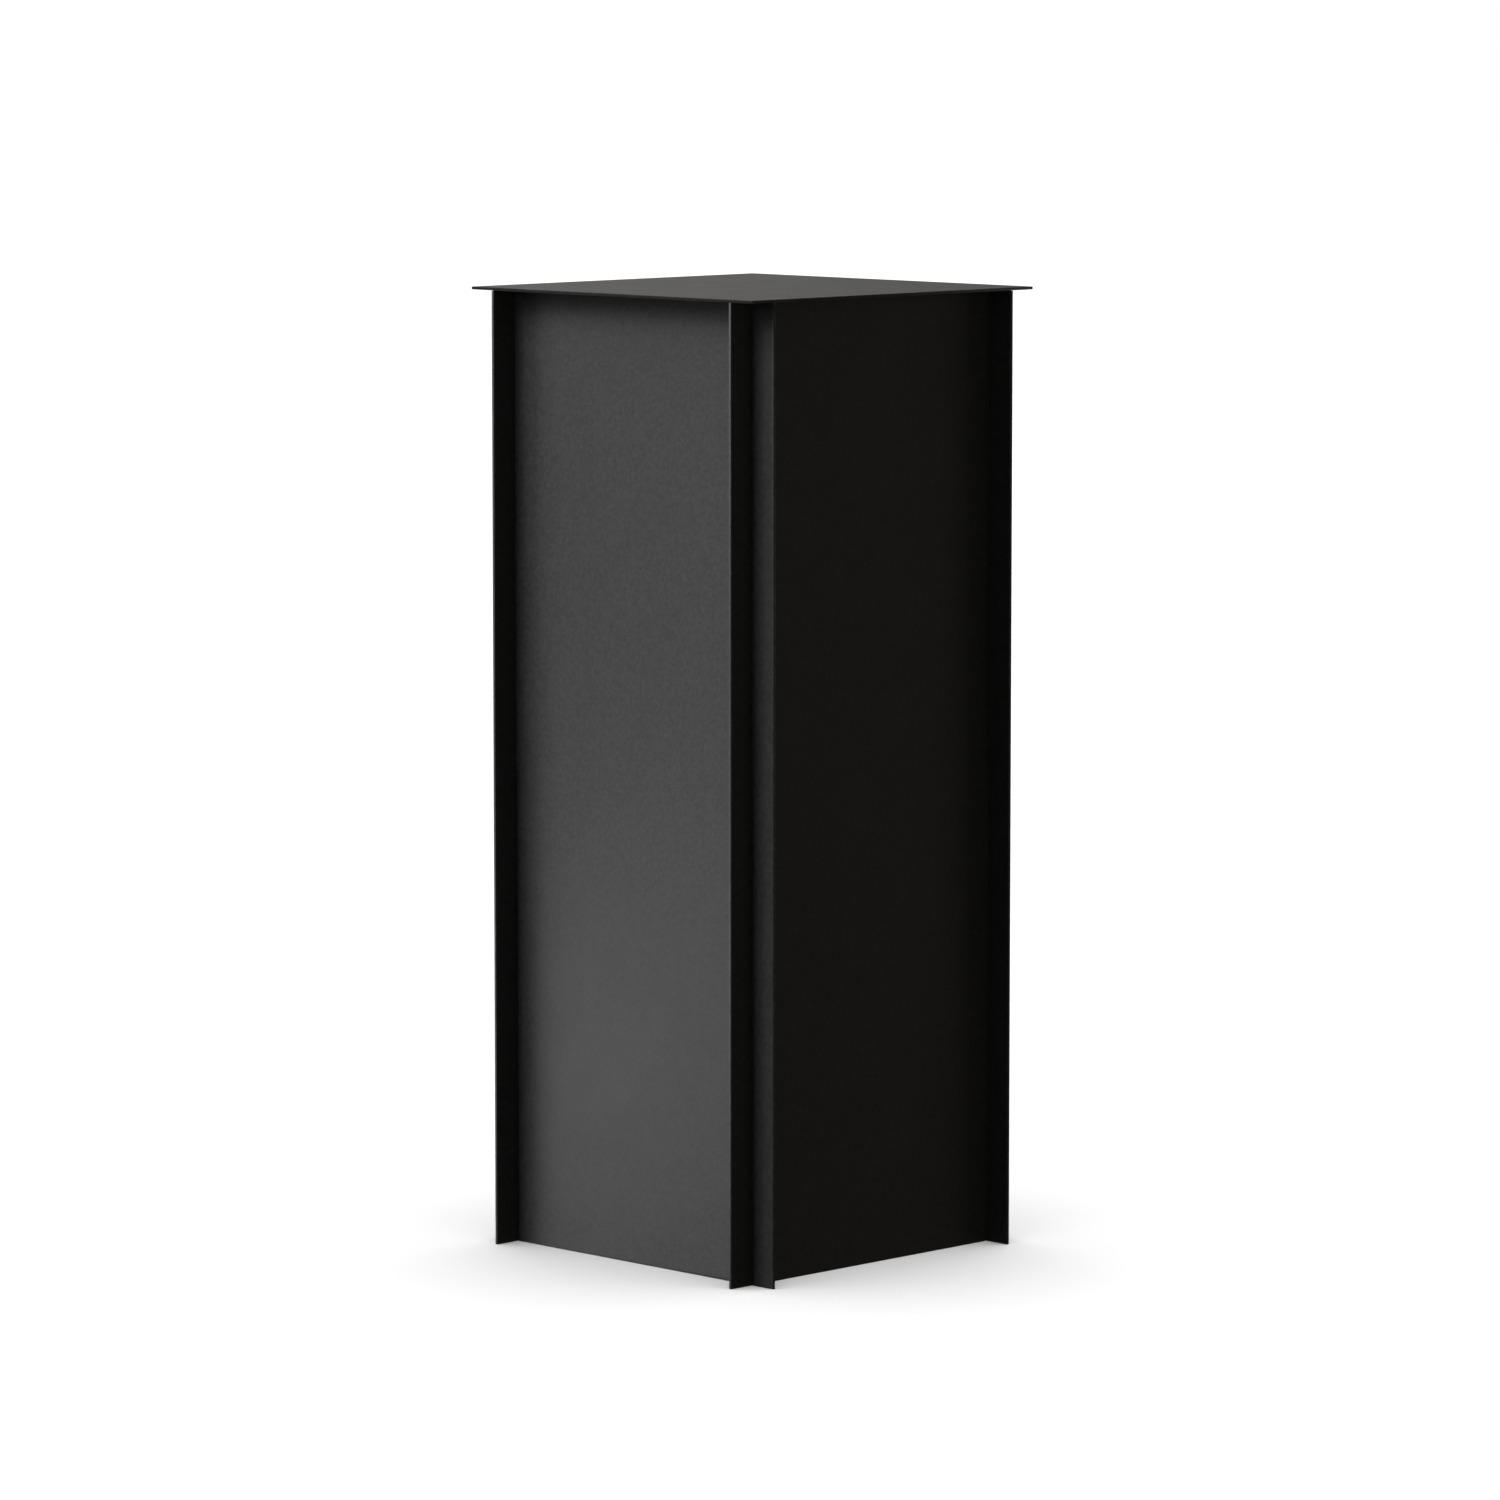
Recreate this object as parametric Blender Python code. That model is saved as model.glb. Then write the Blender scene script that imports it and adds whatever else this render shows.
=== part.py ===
"""Sheet-metal display plinth: four panels that cross through each other at the corners,
a thin square top plate, and the hidden brackets, fixings and levelling feet inside.

Frame: metres, +Z up, origin on the floor under the middle of the plinth.
The front panel faces -Y and the left panel faces -X.
"""

from math import cos, pi, radians, sin

import bmesh
import bpy
from mathutils import Matrix, Vector

# Driving dimensions
HEIGHT = 1.000          # floor to the top of the top plate
WALL_SPAN = 0.350       # outer face to outer face of two opposite panels
FIN = 0.030             # how far each panel runs past the panel it crosses
SHEET = 0.003           # thickness of the panels, the top plate and the brackets
GAP = 0.0003            # clearance between pieces that touch
SHEET_EDGE = 0.0004     # rounding of a deburred, coated sheet edge

# Corner brackets
BRACKET_REACH = 0.058   # how far a bracket runs along each panel
BRACKET_DROP = 0.042    # height of its two folded flanges
BRACKET_RELIEF = 0.010  # corner relief between the two folds
BRACKET_FREE_CORNER = 0.022 # cut off the corner away from the panels
BEND_RADIUS = 0.003     # inside radius of the folds
FLANGE_GAP = 0.0003     # folded flange to panel face
FIXING_INSET = 0.034    # fixing centres, measured from the inner face of a panel
FIXING_DROP = 0.025     # panel stud centres, measured from the bracket's flat face

# Fixings: M6 studs with flange nuts, M8 feet with lock nuts
STUD_RADIUS = 0.003
STUD_LENGTH = 0.012
TOP_STUD_LENGTH = 0.014
STUD_CHAMFER = 0.0006
NUT_ACROSS_FLATS = 0.010
NUT_HEIGHT = 0.006
NUT_FLANGE_RADIUS = 0.0071
NUT_FLANGE_HEIGHT = 0.0012
FOOT_THREAD_RADIUS = 0.004
LOCK_NUT_ACROSS_FLATS = 0.013
LOCK_NUT_HEIGHT = 0.005
WELD_NUT_HEIGHT = 0.0065 # under a lower bracket, around the foot's thread

# Levelling feet, drawn in: the plinth stands on the lower edges of its panels
FOOT_LIFT = 0.0005      # pad above the floor when the foot is screwed right in
FOOT_RADIUS = 0.016
FOOT_TOP_RADIUS = 0.012
FOOT_PAD_HEIGHT = 0.009
FOOT_PAD_RIM = 0.003    # height of the pad's upright rim
FOOT_CHAMFER = 0.001
FOOT_SEAT_RADIUS = 0.0085
FOOT_SEAT_DEPTH = 0.005
FOOT_HEX_TOP = 0.0125   # top of the hexagon on the stem
FOOT_STEM_TOP = 0.0625
LOWER_BRACKET_Z = 0.024 # underside of a lower bracket's flat face

# Derived places
HALF_WALL = WALL_SPAN / 2
HALF_OUTER = HALF_WALL + FIN
INNER_FACE = HALF_WALL - SHEET
PANEL_TOP = HEIGHT - SHEET - GAP
SLOT_MEET = PANEL_TOP / 2
SLOT_WIDTH = SHEET + 2 * GAP
FIXING_AT = INNER_FACE - FIXING_INSET
BRACKET_TOP_Z = PANEL_TOP
ROUND_SEGMENTS = 12
PAD_SEGMENTS = 24
CUTTER_SPARE = 0.010    # how far a cutter runs past the face it cuts

CORNERS = {
    "front_left": (-1, -1),
    "front_right": (1, -1),
    "back_right": (1, 1),
    "back_left": (-1, 1),
}

# Finishes: colour, roughness, metallic
FINISHES = {
    "black_powder_coat": ((0.022, 0.022, 0.022, 1.0), 0.55, 0.0),
    "zinc_steel": ((0.62, 0.62, 0.60, 1.0), 0.35, 1.0),
    "foot_rubber": ((0.030, 0.030, 0.031, 1.0), 0.80, 0.0),
}


def clear_scene():
    """Remove what the new file holds."""
    for obj in list(bpy.data.objects):
        bpy.data.objects.remove(obj, do_unlink=True)


def make_material(name, finish):
    """A plain finish for one sub-part."""
    colour, roughness, metallic = FINISHES[finish]
    material = bpy.data.materials.new(name + "_" + finish)
    material.use_nodes = True
    shader = material.node_tree.nodes["Principled BSDF"]
    shader.inputs["Base Color"].default_value = colour
    shader.inputs["Roughness"].default_value = roughness
    shader.inputs["Metallic"].default_value = metallic
    return material


def object_from_bmesh(name, bm, finish=None):
    """Write a bmesh to a new linked object, with its material if it is a sub-part."""
    bmesh.ops.recalc_face_normals(bm, faces=bm.faces)
    mesh = bpy.data.meshes.new(name)
    bm.to_mesh(mesh)
    bm.free()
    obj = bpy.data.objects.new(name, mesh)
    bpy.context.scene.collection.objects.link(obj)
    if finish:
        mesh.materials.append(make_material(name, finish))
    return obj


def copy_piece(name, source, finish, matrix):
    """A further piece of the same shape, with its own copy of the mesh and its own material."""
    mesh = source.data.copy()
    mesh.name = name
    mesh.materials.clear()
    mesh.materials.append(make_material(name, finish))
    obj = bpy.data.objects.new(name, mesh)
    bpy.context.scene.collection.objects.link(obj)
    obj.matrix_world = matrix
    return obj


def boxed(low, high, edge=0.0):
    """A bmesh box between two corners, its edges rounded by edge."""
    bm = bmesh.new()
    bmesh.ops.create_cube(bm, size=1.0)
    low = Vector(low)
    high = Vector(high)
    size = high - low
    bmesh.ops.scale(bm, vec=size, verts=bm.verts)
    bmesh.ops.translate(bm, vec=(low + high) / 2, verts=bm.verts)
    if edge:
        bmesh.ops.bevel(
            bm, geom=bm.edges[:], offset=edge, segments=2, profile=0.5, affect="EDGES"
        )
    return bm


def ring(bm, radius, z, segments):
    """A ring of vertices about Z."""
    step = 2 * pi / segments
    return [
        bm.verts.new((radius * cos(i * step), radius * sin(i * step), z))
        for i in range(segments)
    ]


def turned(profile, segments):
    """A bmesh turned about Z from (radius, z) points, closed by a flat face at each end."""
    bm = bmesh.new()
    rings = [ring(bm, radius, z, segments) for radius, z in profile]
    for lower, upper in zip(rings, rings[1:]):
        for i in range(segments):
            j = (i + 1) % segments
            bm.faces.new((lower[i], lower[j], upper[j], upper[i]))
    bm.faces.new(reversed(rings[0]))
    bm.faces.new(rings[-1])
    return bm


def hexagon(across_flats, bottom, top):
    """A bmesh six-sided prism about Z."""
    radius = across_flats / 3**0.5
    return turned([(radius, bottom), (radius, top)], 6)


def make_cutter(name, bm):
    """A hidden cutting body."""
    cutter = object_from_bmesh(name, bm)
    cutter.hide_render = True
    cutter.display_type = "WIRE"
    return cutter


def combine(obj, other, operation):
    """Apply one Boolean with another body, which is then removed."""
    modifier = obj.modifiers.new(operation.lower(), "BOOLEAN")
    modifier.operation = operation
    modifier.solver = "EXACT"
    modifier.object = other
    bpy.context.view_layer.update()
    depsgraph = bpy.context.evaluated_depsgraph_get()
    result = bpy.data.meshes.new_from_object(obj.evaluated_get(depsgraph))
    obj.modifiers.clear()
    old = obj.data
    obj.data = result
    bpy.data.meshes.remove(old)
    bpy.data.objects.remove(other, do_unlink=True)


def cylinder(radius, start, end, chamfer=0.0):
    """A bmesh rod from start to end, its far end chamfered."""
    start = Vector(start)
    end = Vector(end)
    length = (end - start).length
    profile = [(radius, 0.0), (radius, length - chamfer)]
    if chamfer:
        profile.append((radius - chamfer, length))
    bm = turned(profile, ROUND_SEGMENTS)
    turn = Vector((0, 0, 1)).rotation_difference(end - start).to_matrix().to_4x4()
    bmesh.ops.transform(bm, matrix=Matrix.Translation(start) @ turn, verts=bm.verts)
    return bm


def stud(obj, base, direction, length):
    """Weld one threaded stud to a sheet: it starts inside the sheet and ends length above it."""
    direction = Vector(direction)
    base = Vector(base)
    start = base - direction * (SHEET / 2)
    combine(
        obj,
        make_cutter("stud", cylinder(STUD_RADIUS, start, base + direction * length, STUD_CHAMFER)),
        "UNION",
    )


def panel(name, side, along_x):
    """One wall panel with its two slots and four studs.

    side is -1 or +1 along the axis that it faces. A panel that runs along X is slotted from
    its top edge down, one that runs along Y from its lower edge up, so the four interlock.
    """
    near = side * INNER_FACE
    far = side * HALF_WALL
    low = (-HALF_OUTER, min(near, far), 0.0)
    high = (HALF_OUTER, max(near, far), PANEL_TOP)
    obj = object_from_bmesh(name, boxed(low, high, SHEET_EDGE), "black_powder_coat")
    if along_x:
        slot_low = SLOT_MEET - GAP / 2
        slot_high = PANEL_TOP + CUTTER_SPARE
    else:
        slot_low = -CUTTER_SPARE
        slot_high = SLOT_MEET + GAP / 2
    for end in (-1, 1):
        middle = end * (HALF_WALL - SHEET / 2)
        cut = boxed(
            (middle - SLOT_WIDTH / 2, min(near, far) - CUTTER_SPARE, slot_low),
            (middle + SLOT_WIDTH / 2, max(near, far) + CUTTER_SPARE, slot_high),
        )
        combine(obj, make_cutter("slot", cut), "DIFFERENCE")
        for z in (LOWER_BRACKET_Z + FIXING_DROP, BRACKET_TOP_Z - FIXING_DROP):
            stud(obj, (end * FIXING_AT, near, z), (0, -side, 0), STUD_LENGTH)
    if not along_x:
        # The panel was modelled running along X: turn it a quarter about Z
        obj.data.transform(Matrix.Rotation(radians(-90), 4, "Z"))
    return obj


def top_plate():
    """The square top plate with four studs on its underside."""
    low = (-HALF_OUTER, -HALF_OUTER, HEIGHT - SHEET)
    high = (HALF_OUTER, HALF_OUTER, HEIGHT)
    obj = object_from_bmesh("top_plate", boxed(low, high, SHEET_EDGE), "black_powder_coat")
    for x_side, y_side in CORNERS.values():
        base = (x_side * FIXING_AT, y_side * FIXING_AT, HEIGHT - SHEET)
        stud(obj, base, (0, 0, -1), TOP_STUD_LENGTH)
    return obj


def fold(bm, face, pivot, axis):
    """Fold one edge face of a sheet down by a quarter turn and draw it out into a flange."""
    made = bmesh.ops.spin(
        bm, geom=[face], cent=pivot, axis=axis, angle=radians(90), steps=4, use_duplicate=False
    )
    end = next(g for g in made["geom_last"] if isinstance(g, bmesh.types.BMFace))
    bmesh.ops.delete(bm, geom=[face], context="FACES_ONLY")
    drawn = bmesh.ops.extrude_discrete_faces(bm, faces=[end])["faces"][0]
    length = BRACKET_DROP - SHEET - BEND_RADIUS
    bmesh.ops.translate(bm, vec=(0, 0, -length), verts=drawn.verts)


def corner_bracket(name, hole_radius, weld_nut=False):
    """A bracket folded from one blank: a flat face and two flanges folded down from it.

    Local frame: the two panels' inner faces are the planes x = 0 and y = 0, and the flat
    face's outer side is z = 0. The free corner is cut off at an angle. A weld nut stands on
    the outer side, around the hole.
    """
    bend_start = FLANGE_GAP + SHEET + BEND_RADIUS
    reach = BRACKET_REACH
    cut_off = BRACKET_REACH - BRACKET_FREE_CORNER
    relief = BRACKET_RELIEF
    bm = bmesh.new()
    outline = [
        (bend_start, relief),
        (relief, relief),
        (relief, bend_start),
        (reach, bend_start),
        (reach, cut_off),
        (cut_off, reach),
        (bend_start, reach),
    ]
    top = [bm.verts.new((x, y, 0.0)) for x, y in outline]
    flat = bm.faces.new(top)
    drawn = bmesh.ops.extrude_face_region(bm, geom=[flat])
    moved = [g for g in drawn["geom"] if isinstance(g, bmesh.types.BMVert)]
    bmesh.ops.translate(bm, vec=(0, 0, -SHEET), verts=moved)
    bmesh.ops.recalc_face_normals(bm, faces=bm.faces)

    def edge_face(axis):
        """The side face of the blank that lies on the bend line of one axis."""
        for face in bm.faces:
            if abs(face.normal[axis]) < 0.9:
                continue
            if all(abs(v.co[axis] - bend_start) < 1e-6 for v in face.verts):
                return face
        raise ValueError("the blank has no side on its bend line")

    pivot_z = -(SHEET + BEND_RADIUS)
    fold(bm, edge_face(0), (bend_start, 0, pivot_z), (0, -1, 0))
    fold(bm, edge_face(1), (0, bend_start, pivot_z), (1, 0, 0))
    obj = object_from_bmesh(name, bm, "black_powder_coat")
    centre = FIXING_INSET
    if weld_nut:
        nut = hexagon(LOCK_NUT_ACROSS_FLATS, -SHEET / 2, WELD_NUT_HEIGHT)
        bmesh.ops.translate(nut, vec=(centre, centre, 0), verts=nut.verts)
        combine(obj, make_cutter("weld_nut", nut), "UNION")
    hole = STUD_RADIUS + GAP
    cutters = (
        cylinder(hole_radius, (centre, centre, -CUTTER_SPARE), (centre, centre, CUTTER_SPARE)),
        cylinder(hole, (-CUTTER_SPARE, centre, -FIXING_DROP), (CUTTER_SPARE, centre, -FIXING_DROP)),
        cylinder(hole, (centre, -CUTTER_SPARE, -FIXING_DROP), (centre, CUTTER_SPARE, -FIXING_DROP)),
    )
    for cutter in cutters:
        combine(obj, make_cutter("hole", cutter), "DIFFERENCE")
    return obj


def corner_matrix(x_side, y_side, z, upright=True):
    """Local corner frame to world: the local axes run inwards from that corner's panels.

    Turning the frame about the corner's diagonal keeps the shape unmirrored.
    """
    inward_x = Vector((-x_side, 0, 0))
    inward_y = Vector((0, -y_side, 0))
    local_z = Vector((0, 0, 1 if upright else -1))
    local_x = inward_x
    local_y = inward_y
    if local_x.cross(local_y).dot(local_z) < 0:
        local_x, local_y = local_y, local_x
    rotation = Matrix((local_x, local_y, local_z)).transposed().to_4x4()
    corner = Vector((x_side * INNER_FACE, y_side * INNER_FACE, z))
    return Matrix.Translation(corner) @ rotation


def bore(obj, radius):
    """Drill a piece through along Z."""
    drill = cylinder(radius, (0, 0, -CUTTER_SPARE), (0, 0, CUTTER_SPARE))
    combine(obj, make_cutter("drill", drill), "DIFFERENCE")


def flange_nut(name):
    """A hexagon nut with a round flange, standing on z = 0 with its axis on Z."""
    body = hexagon(NUT_ACROSS_FLATS, NUT_FLANGE_HEIGHT / 2, NUT_HEIGHT)
    obj = object_from_bmesh(name, body, "zinc_steel")
    flange = turned(
        [(NUT_FLANGE_RADIUS, 0.0), (NUT_FLANGE_RADIUS, NUT_FLANGE_HEIGHT)], ROUND_SEGMENTS
    )
    combine(obj, make_cutter("flange", flange), "UNION")
    bore(obj, STUD_RADIUS + GAP)
    return obj


def lock_nut(name):
    """A thin hexagon nut for the foot's stem, standing on z = 0."""
    body = hexagon(LOCK_NUT_ACROSS_FLATS, 0.0, LOCK_NUT_HEIGHT)
    obj = object_from_bmesh(name, body, "zinc_steel")
    bore(obj, FOOT_THREAD_RADIUS + GAP)
    return obj


def foot_pad(name):
    """The moulded pad of a levelling foot, with the seat for the stem's head."""
    profile = [
        (FOOT_RADIUS - FOOT_CHAMFER, 0.0),
        (FOOT_RADIUS, FOOT_CHAMFER),
        (FOOT_RADIUS, FOOT_PAD_RIM),
        (FOOT_TOP_RADIUS, FOOT_PAD_HEIGHT),
        (FOOT_SEAT_RADIUS, FOOT_PAD_HEIGHT),
        (FOOT_SEAT_RADIUS, FOOT_PAD_HEIGHT - FOOT_SEAT_DEPTH),
    ]
    return object_from_bmesh(name, turned(profile, PAD_SEGMENTS), "foot_rubber")


def foot_stem(name):
    """The steel stem of a levelling foot: a round head, a hexagon and the threaded rod."""
    head_bottom = FOOT_PAD_HEIGHT - FOOT_SEAT_DEPTH + GAP
    head_radius = FOOT_SEAT_RADIUS - GAP
    rod = turned(
        [
            (head_radius, head_bottom),
            (head_radius, FOOT_PAD_HEIGHT - FOOT_CHAMFER),
            (FOOT_THREAD_RADIUS, FOOT_PAD_HEIGHT),
            (FOOT_THREAD_RADIUS, FOOT_STEM_TOP - FOOT_CHAMFER),
            (FOOT_THREAD_RADIUS - FOOT_CHAMFER, FOOT_STEM_TOP),
        ],
        ROUND_SEGMENTS,
    )
    obj = object_from_bmesh(name, rod, "zinc_steel")
    hex_bottom = FOOT_PAD_HEIGHT - FOOT_CHAMFER - GAP
    grip = hexagon(LOCK_NUT_ACROSS_FLATS, hex_bottom, FOOT_HEX_TOP)
    combine(obj, make_cutter("grip", grip), "UNION")
    return obj


def nut_matrix(point, direction):
    """Stand a nut's base on a point with its axis along a direction."""
    turn = Vector((0, 0, 1)).rotation_difference(Vector(direction)).to_matrix().to_4x4()
    return Matrix.Translation(point) @ turn


def fit_corner(where, x_side, y_side, shapes):
    """Every bracket, nut and foot of one corner."""
    fixing_x = x_side * FIXING_AT
    fixing_y = y_side * FIXING_AT
    flange_inside = INNER_FACE - FLANGE_GAP - SHEET - GAP
    front_or_back = "front" if y_side < 0 else "back"
    left_or_right = "left" if x_side < 0 else "right"
    levels = {
        "upper": (BRACKET_TOP_Z, BRACKET_TOP_Z - FIXING_DROP, True),
        "lower": (LOWER_BRACKET_Z, LOWER_BRACKET_Z + FIXING_DROP, False),
    }
    for level, (flat_z, stud_z, upright) in levels.items():
        copy_piece(
            level + "_bracket_" + where,
            shapes[level + "_bracket"],
            "black_powder_coat",
            corner_matrix(x_side, y_side, flat_z, upright),
        )
        copy_piece(
            level + "_nut_" + where + "_on_" + front_or_back,
            shapes["nut"],
            "zinc_steel",
            nut_matrix((fixing_x, y_side * flange_inside, stud_z), (0, -y_side, 0)),
        )
        copy_piece(
            level + "_nut_" + where + "_on_" + left_or_right,
            shapes["nut"],
            "zinc_steel",
            nut_matrix((x_side * flange_inside, fixing_y, stud_z), (-x_side, 0, 0)),
        )
    copy_piece(
        "top_nut_" + where,
        shapes["nut"],
        "zinc_steel",
        nut_matrix((fixing_x, fixing_y, BRACKET_TOP_Z - SHEET - GAP), (0, 0, -1)),
    )
    copy_piece(
        "lock_nut_" + where,
        shapes["lock_nut"],
        "zinc_steel",
        Matrix.Translation((fixing_x, fixing_y, LOWER_BRACKET_Z + SHEET + GAP)),
    )
    foot_axis = bpy.data.objects.new("foot_axis_" + where, None)
    bpy.context.scene.collection.objects.link(foot_axis)
    foot_axis.location = (fixing_x, fixing_y, FOOT_LIFT)
    for piece, finish in (("foot_pad", "foot_rubber"), ("foot_stem", "zinc_steel")):
        obj = copy_piece(piece + "_" + where, shapes[piece], finish, Matrix.Identity(4))
        obj.parent = foot_axis


def main():
    clear_scene()
    panel("front_panel", -1, along_x=True)
    panel("back_panel", 1, along_x=True)
    panel("left_panel", -1, along_x=False)
    panel("right_panel", 1, along_x=False)
    top_plate()
    shapes = {
        "upper_bracket": corner_bracket("upper_bracket", STUD_RADIUS + GAP),
        "lower_bracket": corner_bracket("lower_bracket", FOOT_THREAD_RADIUS + GAP, weld_nut=True),
        "nut": flange_nut("nut"),
        "lock_nut": lock_nut("lock_nut"),
        "foot_pad": foot_pad("foot_pad"),
        "foot_stem": foot_stem("foot_stem"),
    }
    for where, (x_side, y_side) in CORNERS.items():
        fit_corner(where, x_side, y_side, shapes)
    for pattern in shapes.values():
        bpy.data.objects.remove(pattern, do_unlink=True)


main()
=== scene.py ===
from math import ceil, cos, floor, pi, radians, sin

import bmesh
import bpy
from mathutils import Matrix, Vector


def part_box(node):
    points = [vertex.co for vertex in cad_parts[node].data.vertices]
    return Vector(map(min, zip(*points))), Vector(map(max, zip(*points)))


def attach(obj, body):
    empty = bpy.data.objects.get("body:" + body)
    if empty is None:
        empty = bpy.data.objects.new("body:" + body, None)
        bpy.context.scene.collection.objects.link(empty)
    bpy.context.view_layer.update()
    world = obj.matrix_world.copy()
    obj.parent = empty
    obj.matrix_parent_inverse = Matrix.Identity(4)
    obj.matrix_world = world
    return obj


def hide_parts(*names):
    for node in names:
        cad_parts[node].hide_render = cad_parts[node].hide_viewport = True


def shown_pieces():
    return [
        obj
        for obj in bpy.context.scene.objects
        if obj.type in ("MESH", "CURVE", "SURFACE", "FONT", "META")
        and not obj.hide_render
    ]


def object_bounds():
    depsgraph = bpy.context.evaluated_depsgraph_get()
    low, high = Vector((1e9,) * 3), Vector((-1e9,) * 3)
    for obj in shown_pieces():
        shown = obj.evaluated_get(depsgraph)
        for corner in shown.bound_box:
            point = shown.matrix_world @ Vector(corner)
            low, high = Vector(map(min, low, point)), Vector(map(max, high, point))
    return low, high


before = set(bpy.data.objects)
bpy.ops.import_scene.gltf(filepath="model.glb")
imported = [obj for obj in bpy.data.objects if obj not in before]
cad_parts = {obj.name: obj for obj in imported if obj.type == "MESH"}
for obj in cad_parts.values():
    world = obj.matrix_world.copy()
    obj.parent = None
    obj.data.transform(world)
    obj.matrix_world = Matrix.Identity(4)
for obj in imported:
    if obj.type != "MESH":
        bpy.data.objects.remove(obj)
cad_low, cad_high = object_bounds()
centre = (cad_low + cad_high) / 2

# Camera: a long lens that looks at the front left corner from a little above
VIEW_AZIMUTH = -44.96
VIEW_DISTANCE = 7.233
VIEW_HEIGHT = 1.356
AIM_HEIGHT = 0.518
AIM_ASIDE = -0.0023
LENS_MM = 167.9
SENSOR_MM = 36

# The sheet metal
SHEET = 0.003
SHEET_EDGE = 0.0004     # rounding of a coated sheet edge
EDGE_SEGMENTS = 3
FOLDED_SEGMENTS = 2
SHARP_ANGLE = 30        # edges that turn more than this many degrees are rounded
SMOOTH_ANGLE = 35       # and edges that still turn more than this stay sharp in the shading
RUBBED_BAND = 0.004     # how far the wear of an edge runs onto the face beside it
WEAR_BESIDE_CROWN = 0.4 # share of the wear on the outer rows of a rounding
GAP = 0.0003            # clearance between pieces that touch
BRACKET_REACH = 0.058
BRACKET_DROP = 0.042
BRACKET_RELIEF = 0.010
BRACKET_FREE_CORNER = 0.022
BEND_RADIUS = 0.003
BEND_STEPS = 8
HOLE_SEGMENTS = 32
DRILL_SPARE = 0.01      # how far a drill starts before a sheet, and runs on past it
FIXING_INSET = 0.034
FIXING_DROP = 0.025
LOWER_BRACKET_Z = 0.024

# The fixings
STUD_RADIUS = 0.003
STUD_LENGTH = 0.012
STUD_CHAMFER = 0.0006
STUD_PITCH = 0.001
NUT_ACROSS_FLATS = 0.010
NUT_HEIGHT = 0.006
NUT_FLANGE_RADIUS = 0.0071
NUT_FLANGE_HEIGHT = 0.0016
FLANGE_RIM = 0.6        # share of a flange's height that its rim takes
NUT_ROUND = 0.0003
NUT_CHAMFER = 0.58      # slope of the turned chamfer on a hexagon's corners
NUT_FACE = 0.97         # share of the width across flats that a hexagon's end face takes
LOCK_NUT_ACROSS_FLATS = 0.013
WELD_NUT_HEIGHT = 0.0065
BEAD_RADIUS = 0.0011
BEAD_RIPPLE = 0.18      # how much of its radius a weld bead swells and shrinks
BEAD_RIPPLES = 21
BEAD_FLATNESS = 0.8
BEAD_SEGMENTS = 120
BEAD_STEPS = 8
NUT_SEGMENTS = 60
THREAD_SEGMENTS = 24
THREAD_RINGS = 6        # rings of vertices in one turn of a thread

# The feet
FOOT_THREAD_RADIUS = 0.004
FOOT_PITCH = 0.00125
FOOT_PAD_RIM = 0.003
FOOT_SEAT_RADIUS = 0.0085
FOOT_SEAT_DEPTH = 0.005
FOOT_HEAD_SUNK = 0.0013     # how far the stem's round head lies below the pad's top
FOOT_HEX_TOP = 0.0125
FOOT_UNDERCUT = 0.82        # share of the thread's radius in the groove above the hexagon
FOOT_SEGMENTS = 36
PAD_SEGMENTS = 96
RIB_SPACING = 4             # one segment in so many is a notch between two ribs
RIB_DEPTH = 0.0008
SCUFF_HEIGHT = 0.002        # the rubber is scuffed up to this height

# The studio
STUDIO_RADIUS = 40.0
STUDIO_SEGMENTS = 96
FLOOR_DROP = 0.0002
FLOOR_LIGHT = 4.2
FLOOR_LIGHT_ANGLE = 150     # degrees of the sky that the floor's soft light fills
BALL_RINGS = 24
SOFTBOX_DISTANCE = 8.0
SOFTBOX_SIZE = (2.8, 2.2)
TOP_BOX_SIZE = (4.0, 3.0)
CARD_DISTANCE = 5.0
CARD_SIZE = (3.0, 3.0)
AIR_LIGHT = 0.04
LAMP_LIFT = 0.002
NEUTRAL = (1.0, 1.0, 1.0)
FAINTLY_WARM = (1.0, 0.98, 0.93)
WARM = (1.0, 0.93, 0.80)

CORNERS = {
    "front_left": (-1, -1),
    "front_right": (1, -1),
    "back_right": (1, 1),
    "back_left": (-1, 1),
}


# ---------------------------------------------------------------- materials

def new_material(name, colour, roughness, metallic=0.0):
    """A Principled material whose constant values sit on its own sockets."""
    mat = bpy.data.materials.new(name)
    mat.use_nodes = True
    shader = mat.node_tree.nodes["Principled BSDF"]
    shader.inputs["Base Color"].default_value = (*colour, 1.0)
    shader.inputs["Roughness"].default_value = roughness
    shader.inputs["Metallic"].default_value = metallic
    return mat


def noise(mat, scale, detail=2.0, roughness=0.5):
    """The grey output of a noise over the object's own metres; scale is lumps in a metre."""
    nodes, links = mat.node_tree.nodes, mat.node_tree.links
    coords = nodes.new("ShaderNodeTexCoord")
    texture = nodes.new("ShaderNodeTexNoise")
    texture.inputs["Scale"].default_value = scale
    texture.inputs["Detail"].default_value = detail
    texture.inputs["Roughness"].default_value = roughness
    links.new(coords.outputs["Object"], texture.inputs["Vector"])
    return texture.outputs["Fac"]


def remap(mat, value, from_range, to_range):
    """Value moved from one range to another, and held inside it."""
    node = mat.node_tree.nodes.new("ShaderNodeMapRange")
    node.inputs["From Min"].default_value, node.inputs["From Max"].default_value = from_range
    node.inputs["To Min"].default_value, node.inputs["To Max"].default_value = to_range
    mat.node_tree.links.new(value, node.inputs["Value"])
    return node.outputs["Result"]


def math(mat, operation, first, second):
    """One Math node; second may be a number."""
    node = mat.node_tree.nodes.new("ShaderNodeMath")
    node.operation = operation
    mat.node_tree.links.new(first, node.inputs[0])
    if isinstance(second, (int, float)):
        node.inputs[1].default_value = second
    else:
        mat.node_tree.links.new(second, node.inputs[1])
    return node.outputs["Value"]


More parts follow.
